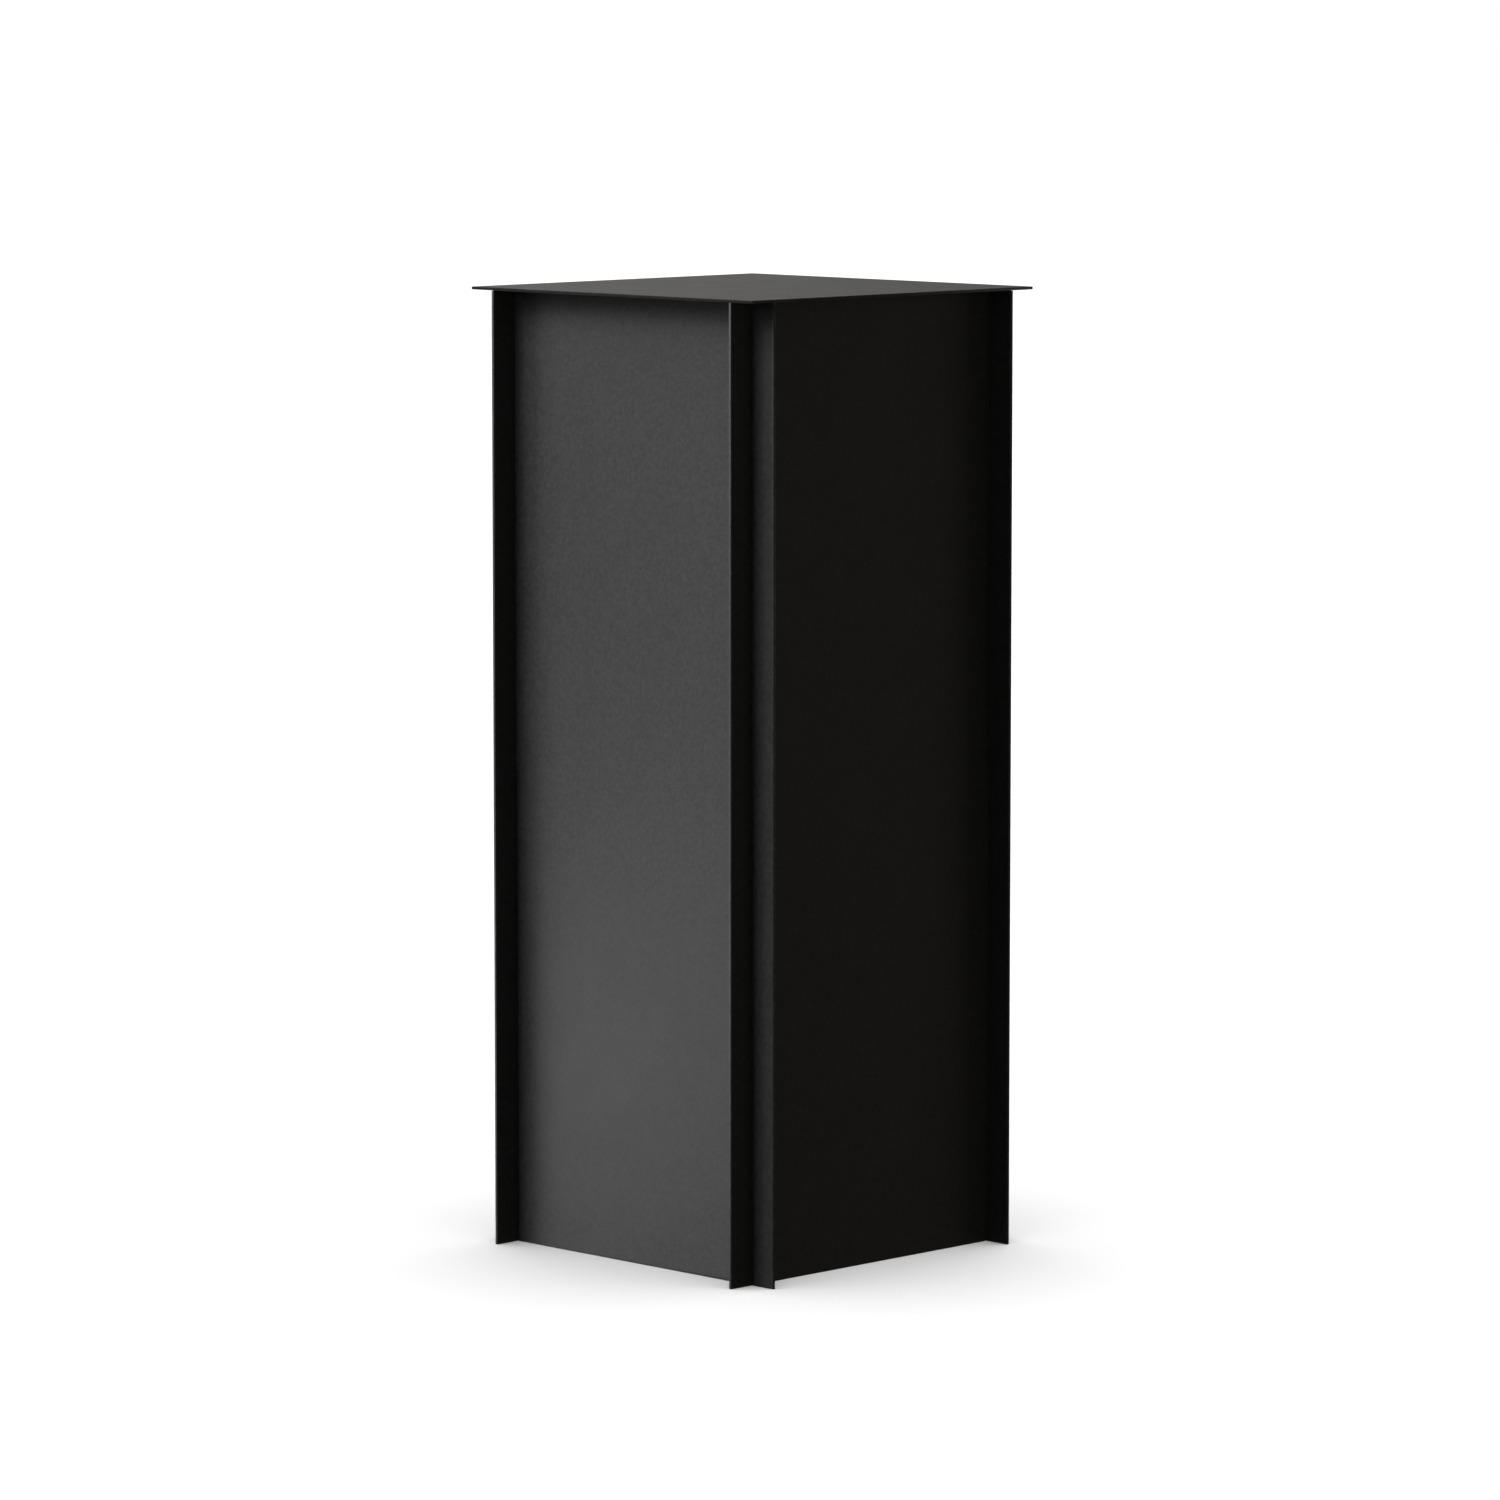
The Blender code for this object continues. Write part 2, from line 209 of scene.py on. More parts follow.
def mix_colour(mat, factor, first, second):
    """Colour first to second by factor; each is three numbers or a socket."""
    node = mat.node_tree.nodes.new("ShaderNodeMix")
    node.data_type = "RGBA"
    mat.node_tree.links.new(factor, node.inputs["Factor"])
    for socket, colour in (("A", first), ("B", second)):
        target = next(s for s in node.inputs if s.name == socket and s.type == "RGBA")
        if isinstance(colour, tuple):
            target.default_value = (*colour, 1.0)
        else:
            mat.node_tree.links.new(colour, target)
    return next(s for s in node.outputs if s.type == "RGBA")


def bump(mat, heights):
    """Chained bumps of (height socket, strength, distance in metres) on the shader's normal."""
    nodes, links = mat.node_tree.nodes, mat.node_tree.links
    last = None
    for height, strength, distance in heights:
        node = nodes.new("ShaderNodeBump")
        node.inputs["Strength"].default_value = strength
        node.inputs["Distance"].default_value = distance
        links.new(height, node.inputs["Height"])
        if last:
            links.new(last, node.inputs["Normal"])
        last = node.outputs["Normal"]
    links.new(last, nodes["Principled BSDF"].inputs["Normal"])


def wear(mat, threshold):
    """The worn share: a piece's edge_wear attribute, broken up by noise."""
    attribute = mat.node_tree.nodes.new("ShaderNodeAttribute")
    attribute.attribute_name = "edge_wear"
    patches = remap(mat, noise(mat, 90, 3.0), (threshold, threshold + 0.12), (0.15, 1.0))
    return math(mat, "MULTIPLY", attribute.outputs["Fac"], patches)


def to_shader(mat, socket, value):
    """Link a value to one of the shader's sockets."""
    mat.node_tree.links.new(value, mat.node_tree.nodes["Principled BSDF"].inputs[socket])


def powder_coat():
    """Matt black polyester powder: a sandy grain of many sizes, clouds, edges rubbed smoother."""
    mat = new_material("black_powder_coat", (0.022, 0.022, 0.022), 0.56)
    grain = noise(mat, 260, 4.0, 0.8)
    sand = noise(mat, 1100, 2.0)
    clouds = noise(mat, 22, 3.0)
    flecks = remap(mat, grain, (0.36, 0.64), (0.0, 1.0))
    coat = mix_colour(mat, flecks, (0.0135, 0.0135, 0.0136), (0.0310, 0.0310, 0.0307))
    rubbed = wear(mat, 0.46)
    to_shader(mat, "Base Color", mix_colour(mat, rubbed, coat, (0.040, 0.040, 0.0395)))
    uneven = remap(mat, clouds, (0.3, 0.7), (0.540, 0.580))
    speckled = math(mat, "ADD", uneven, remap(mat, grain, (0.35, 0.65), (-0.04, 0.04)))
    worn = math(mat, "MULTIPLY", rubbed, -0.12)
    to_shader(mat, "Roughness", math(mat, "ADD", speckled, worn))
    bump(mat, [(grain, 0.35, 0.00026), (sand, 0.30, 0.00008)])
    return mat


def zinc_steel():
    """Bright zinc plating with a faint yellow-blue cast and dull patches."""
    mat = new_material("zinc_plated_steel", (0.60, 0.60, 0.58), 0.34, 1.0)
    patches = noise(mat, 260, 3.0)
    cast = noise(mat, 60, 1.0)
    yellow = remap(mat, cast, (0.35, 0.65), (0, 1))
    tinted = mix_colour(mat, yellow, (0.56, 0.57, 0.60), (0.62, 0.60, 0.53))
    dull = remap(mat, patches, (0.55, 0.75), (0, 0.6))
    to_shader(mat, "Base Color", mix_colour(mat, dull, tinted, (0.36, 0.36, 0.35)))
    to_shader(mat, "Roughness", remap(mat, patches, (0.3, 0.8), (0.26, 0.50)))
    bump(mat, [(patches, 0.2, 0.00003)])
    return mat


def foot_rubber():
    """Moulded black rubber, scuffed to grey where it meets the floor."""
    mat = new_material("foot_rubber", (0.028, 0.028, 0.029), 0.78)
    stipple = noise(mat, 1400, 2.0)
    dust = noise(mat, 160, 4.0)
    grey = remap(mat, dust, (0.45, 0.8), (0.0, 0.7))
    base = mix_colour(mat, grey, (0.024, 0.024, 0.025), (0.060, 0.059, 0.057))
    to_shader(mat, "Base Color", mix_colour(mat, wear(mat, 0.42), base, (0.085, 0.083, 0.080)))
    to_shader(mat, "Roughness", remap(mat, dust, (0.3, 0.8), (0.68, 0.88)))
    bump(mat, [(stipple, 0.4, 0.00006)])
    return mat


# ---------------------------------------------------------------- shapes

def finish_piece(name, bm, mat, body, nodes=()):
    """Write a bmesh to a piece that rides on a body and stands for its CAD nodes."""
    bmesh.ops.recalc_face_normals(bm, faces=bm.faces)
    mesh = bpy.data.meshes.new(name)
    bm.to_mesh(mesh)
    bm.free()
    mesh.shade_smooth()
    mesh.set_sharp_from_angle(angle=radians(SMOOTH_ANGLE))
    mesh.materials.append(mat)
    piece = bpy.data.objects.new(name, mesh)
    bpy.context.scene.collection.objects.link(piece)
    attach(piece, body)
    if nodes:
        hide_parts(*nodes)
    return piece


def round_edges(bm, edges, width, segments):
    """Round edges; edge_wear is full on the crown of the rounding and fades out on the faces."""
    layer = bm.verts.layers.float.get("edge_wear") or bm.verts.layers.float.new("edge_wear")
    made = bmesh.ops.bevel(
        bm, geom=edges, offset=width, segments=segments, profile=0.5, affect="EDGES"
    )
    rounding = set(made["faces"])
    for vert in made["verts"]:
        vert[layer] = 1.0 if all(face in rounding for face in vert.link_faces) else WEAR_BESIDE_CROWN
    wide = [f for f in bm.faces if f.calc_area() / f.calc_perimeter() > RUBBED_BAND]
    bmesh.ops.inset_individual(bm, faces=wide, thickness=RUBBED_BAND)
    for face in wide:
        for vert in face.verts:
            vert[layer] = 0.0


def sharp_edges(bm):
    """The edges that turn more than SHARP_ANGLE."""
    bm.normal_update()
    turn = radians(SHARP_ANGLE)
    return [e for e in bm.edges if len(e.link_faces) == 2 and e.calc_face_angle() > turn]


def extruded(outline, depth):
    """A bmesh plate: an outline of points, drawn out along a depth vector."""
    bm = bmesh.new()
    face = bm.faces.new([bm.verts.new(point) for point in outline])
    drawn = bmesh.ops.extrude_face_region(bm, geom=[face])
    moved = [g for g in drawn["geom"] if isinstance(g, bmesh.types.BMVert)]
    bmesh.ops.translate(bm, vec=depth, verts=moved)
    bmesh.ops.recalc_face_normals(bm, faces=bm.faces)
    return bm


def ringed(rings, ends="capped"):
    """A bmesh skin over rings of points, its two ends capped or joined."""
    bm = bmesh.new()
    rows = [[bm.verts.new(point) for point in points] for points in rings]
    pairs = list(zip(rows, rows[1:]))
    if ends == "joined":
        pairs.append((rows[-1], rows[0]))
    for lower, upper in pairs:
        for i in range(len(lower)):
            j = (i + 1) % len(lower)
            bm.faces.new((lower[i], lower[j], upper[j], upper[i]))
    if ends == "capped":
        bm.faces.new(reversed(rows[0]))
        bm.faces.new(rows[-1])
    return bm


def circle(radius, z, segments):
    """A level ring of points."""
    step = 2 * pi / segments
    return [(radius * cos(i * step), radius * sin(i * step), z) for i in range(segments)]


def hex_radius(angle, across_flats):
    """Distance from a hexagon's centre to its side in a direction."""
    sixth = pi / 3
    off_middle = (angle + sixth / 2) % sixth - sixth / 2
    return across_flats / 2 / cos(off_middle)


def hex_ring(across_flats, z, segments, chamfer=0.0, swell=1.0):
    """A ring on a hexagon's sides; chamfer drops its corners below z as a turned cone would."""
    flat = across_flats / 2
    points = []
    for i in range(segments):
        angle = 2 * pi * i / segments
        radius = hex_radius(angle, across_flats)
        drop = max(0.0, radius - flat * 1.01) * chamfer
        points.append((radius * swell * cos(angle), radius * swell * sin(angle), z - drop))
    return points


def thread_rings(radius, start, end, pitch, chamfer, segments):
    """Rings of a screw thread on Z from start to end, with a chamfered tip.

    The thread is half a pitch deep. Its crest and its root are flat over a sixth of the pitch.
    """
    depth = pitch * 0.5
    steps = ceil((end - start) / pitch * THREAD_RINGS)
    rings = []
    for k in range(steps + 1):
        z = start + (end - start) * k / steps
        points = []
        for i in range(segments):
            angle = 2 * pi * i / segments
            turn = z / pitch - angle / (2 * pi)
            groove = abs((turn - floor(turn)) * 2 - 1)
            cut = depth * min(1.0, max(0.0, groove * 1.5 - 0.25))
            reach = min(radius - cut, radius - chamfer + (end - z))
            points.append((reach * cos(angle), reach * sin(angle), z))
        rings.append(points)
    return rings


def to_place(bm, matrix):
    """Move a bmesh by a matrix."""
    bmesh.ops.transform(bm, matrix=matrix, verts=bm.verts)
    return bm


def along(point, direction):
    """A matrix that stands Z on a point, along a direction."""
    turn = Vector((0, 0, 1)).rotation_difference(Vector(direction)).to_matrix().to_4x4()
    return Matrix.Translation(point) @ turn


def corner_matrix(x_side, y_side, z, upright):
    """The frame of one inner corner: X and Y run inwards along its two panels."""
    local_x = Vector((-x_side, 0, 0))
    local_y = Vector((0, -y_side, 0))
    local_z = Vector((0, 0, 1 if upright else -1))
    if local_x.cross(local_y).dot(local_z) < 0:
        local_x, local_y = local_y, local_x
    rotation = Matrix((local_x, local_y, local_z)).transposed().to_4x4()
    return Matrix.Translation((x_side * inner_face, y_side * inner_face, z)) @ rotation


# ---------------------------------------------------------------- sheet metal

def panel_outline(half_width, top, from_top, slot_at, slot_width, meet):
    """A panel's outline as (along, up) pairs, with its two slots."""
    left = (-slot_at - slot_width / 2, -slot_at + slot_width / 2)
    right = (slot_at - slot_width / 2, slot_at + slot_width / 2)
    lower = []
    upper = []
    if from_top:
        for start, end in (right, left):
            upper += [(end, top), (end, meet), (start, meet), (start, top)]
    else:
        for start, end in (left, right):
            lower += [(start, 0.0), (start, meet), (end, meet), (end, 0.0)]
    return (
        [(-half_width, 0.0)] + lower + [(half_width, 0.0), (half_width, top)]
        + upper + [(-half_width, top)]
    )


def wall_panel(name, coat):
    """One of the four interlocking panels."""
    low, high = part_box(name)
    along_x = high.x - low.x > high.y - low.y
    side = 1 if name in ("back_panel", "right_panel") else -1
    meet = high.z / 2 + (-GAP / 2 if along_x else GAP / 2)
    pairs = panel_outline(
        cad_high.x, high.z, along_x, outer_face - SHEET / 2, SHEET + 2 * GAP, meet
    )
    if along_x:
        outline = [(u, side * outer_face, v) for u, v in pairs]
        depth = (0, -side * SHEET, 0)
    else:
        outline = [(side * outer_face, u, v) for u, v in pairs]
        depth = (-side * SHEET, 0, 0)
    bm = extruded(outline, depth)
    round_edges(bm, sharp_edges(bm), SHEET_EDGE, EDGE_SEGMENTS)
    return finish_piece(name + "_sheet", bm, coat, "plinth", [name])


def top_plate(coat):
    """The square plate that lies on the panels."""
    low, high = cad_low, cad_high
    outline = [(low.x, low.y), (high.x, low.y), (high.x, high.y), (low.x, high.y)]
    bm = extruded([(x, y, high.z) for x, y in outline], (0, 0, -SHEET))
    round_edges(bm, sharp_edges(bm), SHEET_EDGE, EDGE_SEGMENTS)
    return finish_piece("top_plate_sheet", bm, coat, "plinth", ["top_plate"])


def fold(bm, face, pivot, axis, drop):
    """Fold one side of a blank down by a quarter turn and draw it out into a flange."""
    made = bmesh.ops.spin(
        bm, geom=[face], cent=pivot, axis=axis, angle=radians(90), steps=BEND_STEPS,
        use_duplicate=False,
    )
    end = next(g for g in made["geom_last"] if isinstance(g, bmesh.types.BMFace))
    bmesh.ops.delete(bm, geom=[face], context="FACES_ONLY")
    drawn = bmesh.ops.extrude_discrete_faces(bm, faces=[end])["faces"][0]
    bmesh.ops.translate(bm, vec=(0, 0, -drop), verts=drawn.verts)


def side_face(bm, axis, place):
    """The side face of a blank that lies on a plane across an axis."""
    for face in bm.faces:
        if all(abs(v.co[axis] - place) < 1e-6 for v in face.verts):
            return face
    raise ValueError("the blank has no side there")


def corner_bracket(name, x_side, y_side, upright, hole_radius, coat):
    """A folded bracket with rounded sheet edges and three drilled holes."""
    low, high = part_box(name)
    reach = BRACKET_REACH
    cut_off = reach - BRACKET_FREE_CORNER
    bend_start = GAP + SHEET + BEND_RADIUS
    relief = BRACKET_RELIEF
    outline = [
        (bend_start, relief), (relief, relief), (relief, bend_start),
        (reach, bend_start), (reach, cut_off), (cut_off, reach), (bend_start, reach),
    ]
    bm = extruded([(x, y, 0.0) for x, y in outline], (0, 0, -SHEET))
    pivot_z = -(SHEET + BEND_RADIUS)
    drop = BRACKET_DROP - SHEET - BEND_RADIUS
    fold(bm, side_face(bm, 0, bend_start), (bend_start, 0, pivot_z), (0, -1, 0), drop)
    fold(bm, side_face(bm, 1, bend_start), (0, bend_start, pivot_z), (1, 0, 0), drop)
    bmesh.ops.recalc_face_normals(bm, faces=bm.faces)
    round_edges(bm, sharp_edges(bm), SHEET_EDGE, FOLDED_SEGMENTS)
    flat_z = high.z if upright else LOWER_BRACKET_Z
    to_place(bm, corner_matrix(x_side, y_side, flat_z, upright))
    piece = finish_piece(name + "_folded", bm, coat, "plinth", [name])
    inset = FIXING_INSET
    for radius, start, direction in (
        (hole_radius, (inset, inset, -DRILL_SPARE), (0, 0, 1)),
        (STUD_RADIUS + GAP, (-DRILL_SPARE, inset, -FIXING_DROP), (1, 0, 0)),
        (STUD_RADIUS + GAP, (inset, -DRILL_SPARE, -FIXING_DROP), (0, 1, 0)),
    ):
        drill = ringed([circle(radius, z, HOLE_SEGMENTS) for z in (0, 2 * DRILL_SPARE)])
        to_place(drill, corner_matrix(x_side, y_side, flat_z, upright) @ along(start, direction))
        cut(piece, drill)
    return piece


def cut(piece, bm):
    """Cut a bmesh body out of a piece."""
    bmesh.ops.recalc_face_normals(bm, faces=bm.faces)
    mesh = bpy.data.meshes.new("cutter")
    bm.to_mesh(mesh)
    bm.free()
    cutter = bpy.data.objects.new("cutter", mesh)
    bpy.context.scene.collection.objects.link(cutter)
    modifier = piece.modifiers.new("cut", "BOOLEAN")
    modifier.operation = "DIFFERENCE"
    modifier.solver = "EXACT"
    modifier.object = cutter
    bpy.context.view_layer.update()
    depsgraph = bpy.context.evaluated_depsgraph_get()
    result = bpy.data.meshes.new_from_object(piece.evaluated_get(depsgraph))
    piece.modifiers.clear()
    old = piece.data
    piece.data = result
    bpy.data.meshes.remove(old)
    bpy.data.objects.remove(cutter, do_unlink=True)
    bpy.data.meshes.remove(mesh)


# ---------------------------------------------------------------- fixings

def nut_rings(across_flats, bottom, top, bore, flange=None):
    """Rings of a chamfered nut, outside up and bore down; flange is a (radius, height) foot."""
    flat = across_flats / 2
    count = NUT_SEGMENTS
    if flange:
        radius, rise = flange
        rings = [
            circle(radius - NUT_ROUND, bottom, count),
            circle(radius, bottom + NUT_ROUND, count),
            circle(radius, bottom + rise * FLANGE_RIM, count),
            hex_ring(across_flats, bottom + rise, count, swell=1.04),
            hex_ring(across_flats, bottom + rise + NUT_ROUND, count),
        ]
    else:
        rings = [
            circle(flat * NUT_FACE, bottom, count),
            hex_ring(across_flats, bottom, count, chamfer=-NUT_CHAMFER),
        ]
    return rings + [
        hex_ring(across_flats, top, count, chamfer=NUT_CHAMFER),
        circle(flat * NUT_FACE, top, count),
        circle(bore + NUT_ROUND, top, count),
        circle(bore, top - NUT_ROUND, count),
        circle(bore, bottom + NUT_ROUND, count),
        circle(bore + NUT_ROUND, bottom, count),
    ]


def flange_nut(name, stud_name, base, direction, steel, stud_length):
    """A flange nut and the threaded stud that it sits on, whose root is sunk in the sheet."""
    rings = nut_rings(
        NUT_ACROSS_FLATS, 0.0, NUT_HEIGHT, STUD_RADIUS + GAP,
        (NUT_FLANGE_RADIUS, NUT_FLANGE_HEIGHT),
    )
    seat = Vector(base) + Vector(direction) * (SHEET + 2 * GAP)
    bm = to_place(ringed(rings, ends="joined"), along(seat, direction))
    finish_piece(name + "_hexagon", bm, steel, "plinth", [name])
    rings = thread_rings(
        STUD_RADIUS, -SHEET / 3, stud_length, STUD_PITCH, STUD_CHAMFER, THREAD_SEGMENTS
    )
    bm = to_place(ringed(rings), along(base, direction))
    finish_piece(stud_name, bm, steel, "plinth")


def lock_nut(where, steel):
    """The thin nut that locks a foot's stem."""
    name = "lock_nut_" + where
    low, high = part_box(name)
    rings = nut_rings(LOCK_NUT_ACROSS_FLATS, 0.0, high.z - low.z, FOOT_THREAD_RADIUS + GAP)
    middle = (low + high) / 2
    bm = to_place(ringed(rings, ends="joined"), Matrix.Translation((middle.x, middle.y, low.z)))
    finish_piece(name + "_hexagon", bm, steel, "plinth", [name])


def weld_nut(where, x, y, coat):
    """The nut welded under a lower bracket, and its bead."""
    top = LOWER_BRACKET_Z - GAP / 10
    rings = nut_rings(
        LOCK_NUT_ACROSS_FLATS, top - WELD_NUT_HEIGHT, top, FOOT_THREAD_RADIUS + GAP
    )
    bm = to_place(ringed(rings, ends="joined"), Matrix.Translation((x, y, 0)))
    finish_piece("weld_nut_" + where, bm, coat, "plinth")
    bead_rings = []
    for i in range(BEAD_SEGMENTS):
        angle = 2 * pi * i / BEAD_SEGMENTS
        width = BEAD_RADIUS * (1 + BEAD_RIPPLE * sin(angle * BEAD_RIPPLES))
        middle = hex_radius(angle, LOCK_NUT_ACROSS_FLATS)
        bead_rings.append([
            (
                (middle + width * cos(turn)) * cos(angle),
                (middle + width * cos(turn)) * sin(angle),
                top + width * sin(turn) * BEAD_FLATNESS,
            )
            for turn in (pi * (1 + k / BEAD_STEPS) for k in range(BEAD_STEPS + 1))
        ])
    bm = to_place(ringed(bead_rings, ends="joined"), Matrix.Translation((x, y, 0)))
    finish_piece("weld_bead_" + where, bm, coat, "plinth")


# ---------------------------------------------------------------- feet

def foot_pad(where, rubber):
    """The moulded pad: ribbed rim, sloping shoulder, the stem's seat and a ringed sole."""
    name = "foot_pad_" + where
    low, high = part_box(name)
    radius = (high.x - low.x) / 2
    rise = high.z - low.z
    sole = [(0.0045, 0.0), (0.0052, 0.0006), (0.0078, 0.0006), (0.0085, 0.0),
            (0.0106, 0.0), (0.0112, 0.0006), (0.0130, 0.0006), (0.0136, 0.0)]
    rim = [(radius - 0.0010, 0.0), (radius - 0.0003, 0.0003), (radius, 0.0010),
           (radius, FOOT_PAD_RIM), (radius - 0.0002, FOOT_PAD_RIM + 0.0004)]
    shoulder = [(0.0146, 0.0046), (0.0133, 0.0066), (0.0124, rise - 0.0006),
                (0.0119, rise - 0.0001), (0.0113, rise)]
    seat = [(FOOT_SEAT_RADIUS + 0.0003, rise), (FOOT_SEAT_RADIUS, rise - 0.0003),
            (FOOT_SEAT_RADIUS, rise - FOOT_SEAT_DEPTH)]
    rings = []
    for r, z in sole + rim + shoulder + seat:
        points = []
        for i in range(PAD_SEGMENTS):
            notch = RIB_DEPTH if r == radius and i % RIB_SPACING == 0 else 0.0
            angle = 2 * pi * i / PAD_SEGMENTS
            points.append(((r - notch) * cos(angle), (r - notch) * sin(angle), z))
        rings.append(points)
    middle = (low + high) / 2
    bm = to_place(ringed(rings), Matrix.Translation((middle.x, middle.y, low.z)))
    layer = bm.verts.layers.float.new("edge_wear")
    for vert in bm.verts:
        vert[layer] = max(0.0, 1.0 - (vert.co.z - low.z) / SCUFF_HEIGHT)
    finish_piece(name + "_moulding", bm, rubber, "foot_" + where, [name])


def foot_stem(where, steel):
    """The stem: round head, chamfered hexagon, undercut and rolled thread, in one skin."""
    name = "foot_stem_" + where
    low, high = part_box(name)
    count = FOOT_SEGMENTS
    pad_low, pad_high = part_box("foot_pad_" + where)
    base = pad_low.z
    head = FOOT_SEAT_RADIUS - GAP
    head_bottom = low.z - base
    head_top = pad_high.z - base - FOOT_HEAD_SUNK
    flat = LOCK_NUT_ACROSS_FLATS / 2
    rings = [
        circle(head - 0.0004, head_bottom, count),
        circle(head, head_bottom + 0.0004, count),
        circle(head, head_top - 0.0003, count),
        circle(head - 0.0003, head_top, count),
        hex_ring(LOCK_NUT_ACROSS_FLATS, head_top + 0.0001, count, swell=1.01),
        hex_ring(LOCK_NUT_ACROSS_FLATS, head_top + 0.0004, count),
        hex_ring(LOCK_NUT_ACROSS_FLATS, FOOT_HEX_TOP, count, chamfer=NUT_CHAMFER),
        circle(flat * NUT_FACE, FOOT_HEX_TOP, count),
        circle(FOOT_THREAD_RADIUS * 1.1, FOOT_HEX_TOP, count),
        circle(FOOT_THREAD_RADIUS * FOOT_UNDERCUT, FOOT_HEX_TOP + 0.0003, count),
        circle(FOOT_THREAD_RADIUS * FOOT_UNDERCUT, FOOT_HEX_TOP + 0.0012, count),
    ]
    rings += thread_rings(
        FOOT_THREAD_RADIUS, FOOT_HEX_TOP + 0.0015, high.z - base, FOOT_PITCH, 0.001, count
    )
    middle = (low + high) / 2
    bm = to_place(ringed(rings), Matrix.Translation((middle.x, middle.y, base)))
    finish_piece(name + "_thread", bm, steel, "foot_" + where, [name])


def fit_corner(where, x_side, y_side, coat, steel, rubber):
    """Every bracket, nut, stud and foot of one corner."""
    faces = {
        "front" if y_side < 0 else "back": (0, -y_side, 0),
        "left" if x_side < 0 else "right": (-x_side, 0, 0),
    }
    for level in ("upper", "lower"):
        upright = level == "upper"
        hole = STUD_RADIUS if upright else FOOT_THREAD_RADIUS
        name = level + "_bracket_" + where
        corner_bracket(name, x_side, y_side, upright, hole + GAP, coat)
        for face, direction in faces.items():
            nut = level + "_nut_" + where + "_on_" + face
            low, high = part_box(nut)
            base = (low + high) / 2
            if direction[0]:
                base.x = x_side * inner_face
            else:
                base.y = y_side * inner_face
            stud = level + "_stud_" + where + "_on_" + face
            flange_nut(nut, stud, base, direction, steel, STUD_LENGTH)
    low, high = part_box("top_nut_" + where)
    middle = (low + high) / 2
    base = (middle.x, middle.y, cad_high.z - SHEET)
    top_stud_length = cad_high.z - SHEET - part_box("top_plate")[0].z
    flange_nut("top_nut_" + where, "top_stud_" + where, base, (0, 0, -1), steel, top_stud_length)
    weld_nut(where, middle.x, middle.y, coat)
    lock_nut(where, steel)
    foot_pad(where, rubber)
    foot_stem(where, steel)


# ---------------------------------------------------------------- studio

def area_light(name, azimuth, elevation, distance, size, watts, target, lit, colour=NEUTRAL):
    """A soft rectangular light that looks at a target from a direction and lights one group."""
    data = bpy.data.lights.new(name, "AREA")
    data.shape = "RECTANGLE"
    data.size, data.size_y = size
    data.energy = watts
    data.color = colour
    light = bpy.data.objects.new(name, data)
    bpy.context.scene.collection.objects.link(light)
    turn, lift = radians(azimuth), radians(elevation)
    back = Vector((sin(turn) * cos(lift), -cos(turn) * cos(lift), sin(lift)))
    light.location = Vector(target) + back * distance
    light.rotation_mode = "QUATERNION"
    light.rotation_quaternion = back.to_track_quat("Z", "Y")
    light.visible_camera = False
    light.light_linking.receiver_collection = lit
    return light


def softboxes():
    """A bank of softboxes from the back round to the left, and two more for the top alone."""
    for name, azimuth, elevation, size, watts, lit, colour in (
        ("softbox_left_back_high", -125, 40, SOFTBOX_SIZE, 240, walls_lit, NEUTRAL),
        ("softbox_left_back", -145, 24, SOFTBOX_SIZE, 175, walls_lit, NEUTRAL),
        ("softbox_left_back_low", -145, 8, SOFTBOX_SIZE, 17, plinth_lit, NEUTRAL),
        ("softbox_left_top", -105, 56, SOFTBOX_SIZE, 320, walls_lit, NEUTRAL),
        ("softbox_left_high", -105, 40, SOFTBOX_SIZE, 145, walls_lit, NEUTRAL),
        ("softbox_left", -105, 24, SOFTBOX_SIZE, 45, plinth_lit, NEUTRAL),
        ("softbox_left_low", -85, 8, SOFTBOX_SIZE, 33, plinth_lit, NEUTRAL),
        ("softbox_over", -125, 60, SOFTBOX_SIZE, 250, top_lit, NEUTRAL),
        ("softbox_back", -175, 40, SOFTBOX_SIZE, 715, walls_lit, FAINTLY_WARM),
        ("softbox_top", 148, 35, TOP_BOX_SIZE, 75, top_lit, FAINTLY_WARM),
    ):
        area_light(name, azimuth, elevation, SOFTBOX_DISTANCE, size, watts, centre, lit, colour)


def reflector_cards():
    """Weak light off pale cards: low at the left, and round the sides that face away."""
    near_floor = cad_low.lerp(cad_high, 0.1)
    near_floor.xy = centre.xy
    area_light("floor_card_left", -150, -4, 1.2, (1.2, 0.2), 5.0, near_floor, plinth_lit)
    for name, azimuth, watts in (
        ("card_front_left", -25, 6.5),
        ("card_front", 0, 8.0),
        ("card_right", 60, 5.9),
    ):
        area_light(name, azimuth, 0, CARD_DISTANCE, CARD_SIZE, watts, centre, plinth_lit, WARM)
    area_light("card_back_right", 135, 8, 6.0, (4.0, 2.0), 15, centre, plinth_lit)
    area_light("low_card_right", 105, 0, 4.0, (3.2, 0.9), 90, centre, plinth_lit)


def inside_lamp():
    """A lamp in the hollow, level with the soles, that shines up at the fittings."""
    place = Vector((centre.x, centre.y, cad_low.z + LAMP_LIFT))
    area_light("inside_lamp", 0, -90, 0.0, (0.2, 0.2), 2.5, place, plinth_lit)


def stage_piece(name, bm, mat):
    """A studio surface that shows to the camera, and stays out of reflections and bounces."""
    mesh = bpy.data.meshes.new(name)
    bm.to_mesh(mesh)
    bm.free()
    mesh.materials.append(mat)
    piece = bpy.data.objects.new(name, mesh)
    bpy.context.scene.collection.objects.link(piece)
    piece.visible_diffuse = False
    piece.visible_glossy = False
    piece.visible_shadow = False
    return piece


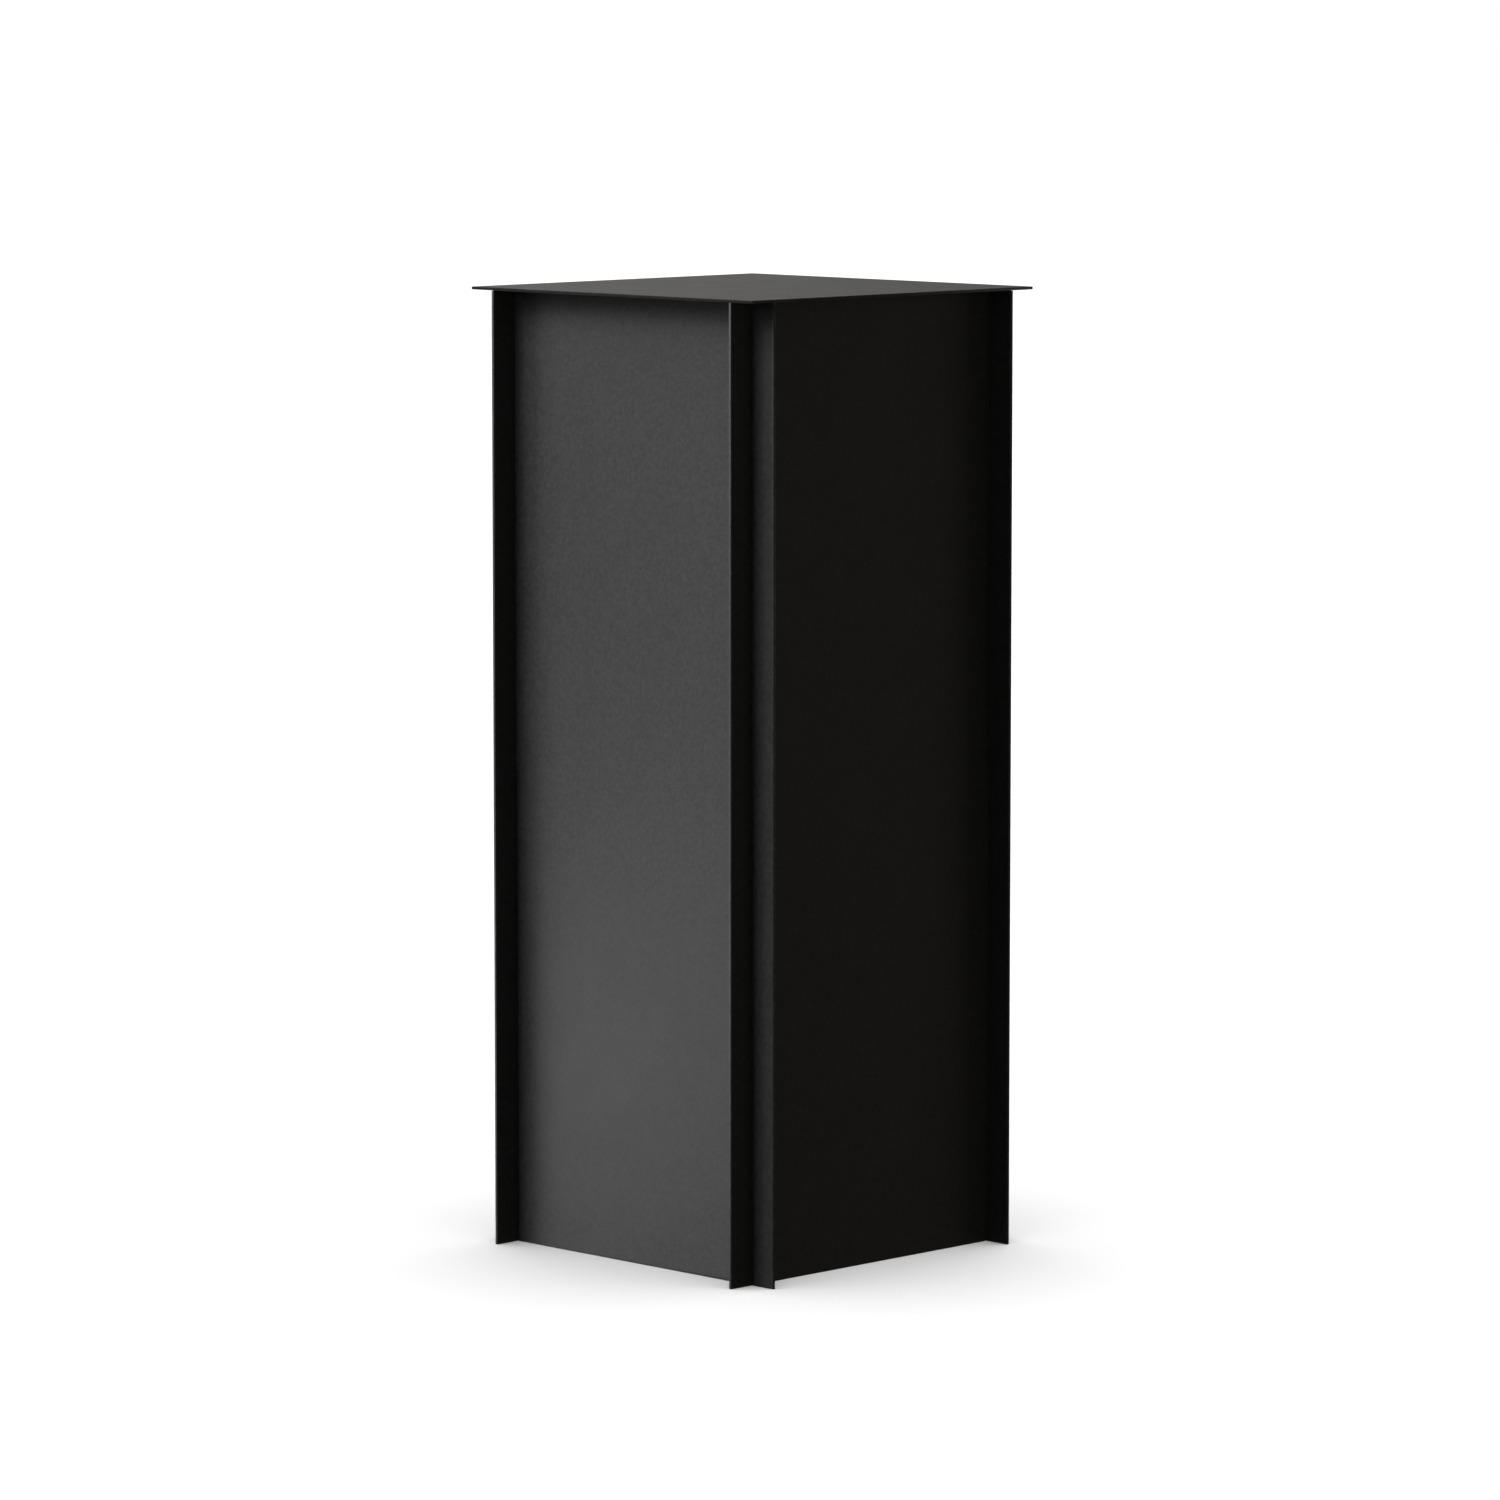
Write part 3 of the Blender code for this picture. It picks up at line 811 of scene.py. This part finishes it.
def floor_paint():
    """A pale matt floor that is clear from below, so that the underside can be seen."""
    mat = new_material("pale_floor", (0.9, 0.9, 0.9), 0.9)
    nodes, links = mat.node_tree.nodes, mat.node_tree.links
    side = nodes.new("ShaderNodeNewGeometry")
    clear = nodes.new("ShaderNodeBsdfTransparent")
    either = nodes.new("ShaderNodeMixShader")
    links.new(side.outputs["Backfacing"], either.inputs["Fac"])
    links.new(nodes["Principled BSDF"].outputs["BSDF"], either.inputs[1])
    links.new(clear.outputs["BSDF"], either.inputs[2])
    links.new(either.outputs["Shader"], nodes["Material Output"].inputs["Surface"])
    return mat


def floor_and_its_light(floor_z):
    """A round pale floor, and the soft, even light that falls on nothing else."""
    bm = bmesh.new()
    rim = circle(STUDIO_RADIUS, floor_z, STUDIO_SEGMENTS)
    bm.faces.new([bm.verts.new(point) for point in rim])
    floor_lit.objects.link(stage_piece("studio_floor", bm, floor_paint()))
    data = bpy.data.lights.new("floor_light", "SUN")
    data.energy = FLOOR_LIGHT
    data.angle = radians(FLOOR_LIGHT_ANGLE)
    light = bpy.data.objects.new("floor_light", data)
    bpy.context.scene.collection.objects.link(light)
    light.light_linking.receiver_collection = floor_lit


def white_ball(floor_z):
    """A glowing white ball round the floor, as the backdrop on every side."""
    rings = []
    for k in range(1, BALL_RINGS):
        lift = pi * (k / BALL_RINGS - 0.5)
        level = floor_z + STUDIO_RADIUS * sin(lift)
        rings.append(circle(STUDIO_RADIUS * cos(lift), level, STUDIO_SEGMENTS))
    white = new_material("white_ball", (0, 0, 0), 1.0)
    shader = white.node_tree.nodes["Principled BSDF"]
    shader.inputs["Emission Color"].default_value = (1, 1, 1, 1)
    shader.inputs["Emission Strength"].default_value = 1.0
    stage_piece("studio_ball", ringed(rings), white)


def studio_air():
    """A faint even light from all round."""
    world = bpy.data.worlds.new("studio_air")
    bpy.context.scene.world = world
    world.use_nodes = True
    background = world.node_tree.nodes["Background"]
    background.inputs["Color"].default_value = (*NEUTRAL, 1)
    background.inputs["Strength"].default_value = AIR_LIGHT


def camera():
    """The camera, at the plinth's front left corner."""
    turn = radians(VIEW_AZIMUTH)
    forward = Vector((-sin(turn), cos(turn), 0))
    right = Vector((cos(turn), sin(turn), 0))
    foot = Vector((centre.x, centre.y, 0)) + right * AIM_ASIDE
    place = foot - forward * VIEW_DISTANCE + Vector((0, 0, VIEW_HEIGHT))
    aim = foot + Vector((0, 0, AIM_HEIGHT))
    data = bpy.data.cameras.new("camera")
    data.lens = LENS_MM
    data.sensor_width = SENSOR_MM
    data.clip_end = STUDIO_RADIUS * 3
    eye = bpy.data.objects.new("camera", data)
    bpy.context.scene.collection.objects.link(eye)
    eye.location = place
    eye.rotation_mode = "QUATERNION"
    eye.rotation_quaternion = (aim - place).to_track_quat("-Z", "Y")
    bpy.context.scene.camera = eye


# ---------------------------------------------------------------- build

plinth_lit = bpy.data.collections.new("plinth_lit")
walls_lit = bpy.data.collections.new("walls_lit")
top_lit = bpy.data.collections.new("top_lit")
floor_lit = bpy.data.collections.new("floor_lit")
for collection in (plinth_lit, walls_lit, top_lit, floor_lit):
    bpy.context.scene.collection.children.link(collection)

outer_face = -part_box("front_panel")[0].y
inner_face = outer_face - SHEET

coat = powder_coat()
steel = zinc_steel()
rubber = foot_rubber()
for panel in ("front_panel", "back_panel", "left_panel", "right_panel"):
    wall_panel(panel, coat)
plate = top_plate(coat)
for where, (x_side, y_side) in CORNERS.items():
    fit_corner(where, x_side, y_side, coat, steel, rubber)
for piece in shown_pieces():
    plinth_lit.objects.link(piece)
    (top_lit if piece == plate else walls_lit).objects.link(piece)

floor_and_its_light(cad_low.z - FLOOR_DROP)
white_ball(cad_low.z - FLOOR_DROP)
softboxes()
reflector_cards()
inside_lamp()
studio_air()
camera()
bpy.context.scene.view_settings.view_transform = "Standard"
